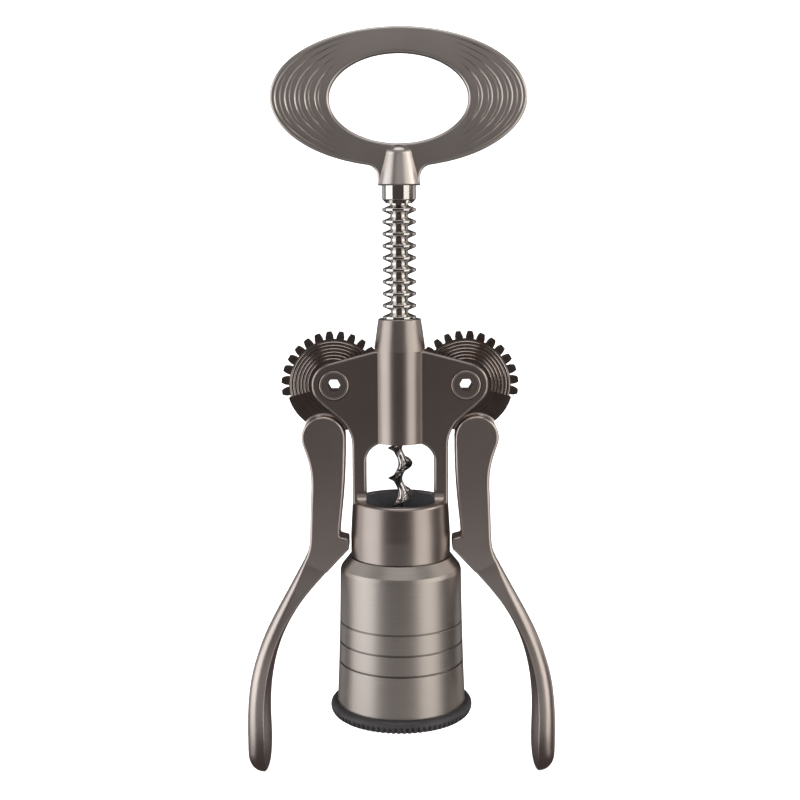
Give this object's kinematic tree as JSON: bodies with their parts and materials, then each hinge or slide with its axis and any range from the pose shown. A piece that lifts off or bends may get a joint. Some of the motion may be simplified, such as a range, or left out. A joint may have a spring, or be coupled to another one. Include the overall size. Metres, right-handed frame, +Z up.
{
  "type": "lever corkscrew",
  "caption": "Wing corkscrew: oval ring handle turns a right-hand worm, geared side levers raise the round rack to draw the cork, ribbed rubber foot on the bell.",
  "frame": {"origin": "on the axis of the tool, in the plane where the lip of a bottle seats inside the bell", "axes": "+Z up the axis to the ring handle, the levers and the handle's ring lie in the XZ plane, the front faces -Y"},
  "size_m": [0.1078, 0.0494, 0.2556],
  "materials": {
    "satin_metal": "satin plated casting, warm grey",
    "brushed_metal": "brushed round the axis, warm grey",
    "polished_metal": "mirror polished",
    "dark_polished_metal": "polished, dark",
    "bearing_polymer": "moulded",
    "black_polymer": "moulded, black",
    "black_rubber": "matt rubber with moulded ribs"
  },
  "bodies": {
    "frame": {"frame": "satin_metal", "bell": "brushed_metal", "neck_guide": "black_polymer", "collar_liner": "black_polymer", "foot_ring": "black_rubber", "left_pivot_bolt": "dark_polished_metal", "left_pivot_sleeve": "dark_polished_metal", "right_pivot_bolt": "dark_polished_metal", "right_pivot_sleeve": "dark_polished_metal"},
    "rack": {"rack_shaft": "polished_metal"},
    "spindle": {"handle": "satin_metal", "worm": "polished_metal"},
    "left_lever": {"left_lever": "satin_metal", "left_front_bush": "bearing_polymer", "left_rear_bush": "bearing_polymer"},
    "right_lever": {"right_lever": "satin_metal", "right_front_bush": "bearing_polymer", "right_rear_bush": "bearing_polymer"}
  },
  "joints": [
    {"name": "left_lever_swing", "type": "hinge", "parent": "frame", "child": "left_lever", "pos_m": [-0.0223, 0, 0.0732], "axis": [0, 1, 0], "range_deg": [0, 145]},
    {"name": "right_lever_swing", "type": "hinge", "parent": "frame", "child": "right_lever", "pos_m": [0.0223, 0, 0.0732], "axis": [0, -1, 0], "range_deg": [0, 145]},
    {"name": "rack_slide", "type": "slide", "parent": "frame", "child": "rack", "axis": [0, 0, -1], "range_m": [0, 0.0435]},
    {"name": "handle_turn", "type": "hinge", "parent": "rack", "child": "spindle", "pos_m": [0, 0, 0.1398], "axis": [0, 0, 1], "continuous": true}
  ],
  "couplings": [
    {"joint": "right_lever_swing", "follows": "left_lever_swing", "ratio": 1},
    {"joint": "rack_slide", "follows": "left_lever_swing", "m_per_rad": 0.017189}
  ]
}
